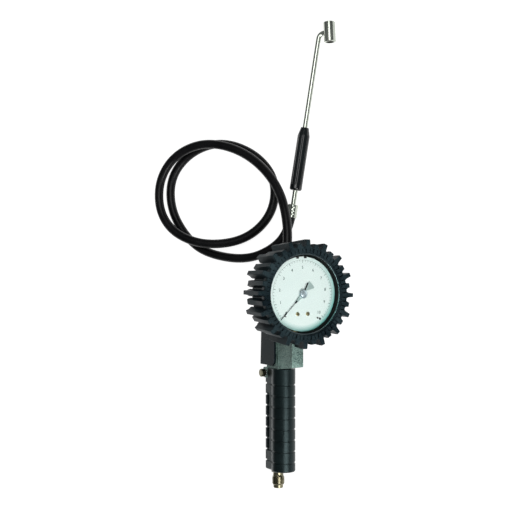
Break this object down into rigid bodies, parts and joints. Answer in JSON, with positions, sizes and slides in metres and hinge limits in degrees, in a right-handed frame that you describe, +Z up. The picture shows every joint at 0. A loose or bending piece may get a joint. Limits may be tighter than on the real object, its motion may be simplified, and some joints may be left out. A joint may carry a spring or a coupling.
{
  "type": "tyre inflator with dial gauge",
  "caption": "Hand-held tyre inflator: squeeze-lever grip, dial gauge in a lugged rubber boot, coiled hose and a lance with a twin chuck, lying at rest.",
  "frame": {"origin": "bottom centre of the box round the handle and gauge, without the hose and lance", "axes": "+Z up from the table, +Y along the handle from the air inlet to the gauge, the dial faces up and to +X"},
  "size_m": [0.2411, 0.489, 0.1059],
  "materials": {
    "black_moulding": "satin",
    "dark_brass": "satin",
    "brass": "satin",
    "plated_steel": "satin",
    "seal_rubber": "matte",
    "cast_alloy": "matte",
    "spring_steel": "polished",
    "painted_steel": "satin",
    "black_steel": "satin",
    "bronze": "satin",
    "white_dial": "matte",
    "pointer_black": "matte",
    "clear_window": "polished",
    "chromed_steel": "polished",
    "boot_rubber": "matte",
    "nickel_plate": "polished",
    "hose_rubber": "satin"
  },
  "bodies": {
    "inflator": {"grip": "black_moulding", "inlet_nipple": "dark_brass", "inlet_filter": "brass", "inlet_tube": "plated_steel", "inlet_washer": "seal_rubber", "valve_body": "cast_alloy", "valve_nut": "brass", "rod_seal": "seal_rubber", "valve_seat": "seal_rubber", "valve_spring": "spring_steel", "lever_pin": "plated_steel", "bleed_spring": "spring_steel", "bleed_seal": "seal_rubber", "gauge_case": "black_steel", "gauge_socket": "brass", "stem_washer": "seal_rubber", "coil_tube": "bronze", "movement_plates": "brass", "hair_spring": "bronze", "dial": "white_dial", "dial_screws": "brass", "zero_stop": "black_steel", "window_gasket": "seal_rubber", "gauge_window": "clear_window", "bezel_ring": "chromed_steel", "gauge_boot": "boot_rubber", "outlet_fitting": "brass", "outlet_ferrule": "nickel_plate", "hose": "hose_rubber", "lance_ferrule": "nickel_plate", "lance_tube": "nickel_plate", "lance_sleeve": "black_moulding", "chuck_head": "nickel_plate", "chuck_seals": "seal_rubber", "chuck_pins": "brass"},
    "lever": {"lever": "painted_steel"},
    "push_rod": {"push_rod": "brass"},
    "bleed_button": {"bleed_button": "brass"},
    "sector": {"sector_gear": "brass"},
    "tip_link": {"tip_link": "brass"},
    "pointer": {"pinion_arbor": "brass", "pointer": "pointer_black"}
  },
  "joints": [
    {"name": "lever_squeeze", "type": "hinge", "parent": "inflator", "child": "lever", "pos_m": [-0.03449, 0.05521, 0.02043], "axis": [-0.6302, -0.0542, 0.7746], "range_deg": [0, 6.5], "stiffness_Nm_per_rad": 1.5, "springref_deg": -8.59},
    {"name": "push_rod_slide", "type": "slide", "parent": "inflator", "child": "push_rod", "axis": [0.7765, -0.044, 0.6286], "range_m": [0, 0.0034], "deforming": ["valve_spring"]},
    {"name": "bleed_press", "type": "slide", "parent": "inflator", "child": "bleed_button", "axis": [0.6302, 0.0542, -0.7746], "range_m": [0, 0.0018], "stiffness_N_per_m": 900, "springref_m": -0.0015, "deforming": ["bleed_spring"]},
    {"name": "sector_turn", "type": "hinge", "parent": "inflator", "child": "sector", "pos_m": [0.0048, 0.049, 0.05196], "axis": [0.7765, -0.044, 0.6286], "range_deg": [0, 30], "stiffness_Nm_per_rad": 0.02, "springref_deg": -5.73},
    {"name": "pointer_turn", "type": "hinge", "parent": "inflator", "child": "pointer", "pos_m": [0.00667, 0.07283, 0.05515], "axis": [0.7765, -0.044, 0.6286], "range_deg": [-270, 0], "deforming": ["hair_spring"]},
    {"name": "link_swing", "type": "hinge", "parent": "sector", "child": "tip_link", "pos_m": [0.00996, 0.05166, 0.04372], "axis": [0.7765, -0.044, 0.6286], "range_deg": [-30, 0]}
  ],
  "couplings": [
    {"joint": "push_rod_slide", "follows": "lever_squeeze", "m_per_rad": 0.0299},
    {"joint": "pointer_turn", "follows": "sector_turn", "ratio": -9},
    {"joint": "link_swing", "follows": "sector_turn", "ratio": -1}
  ]
}
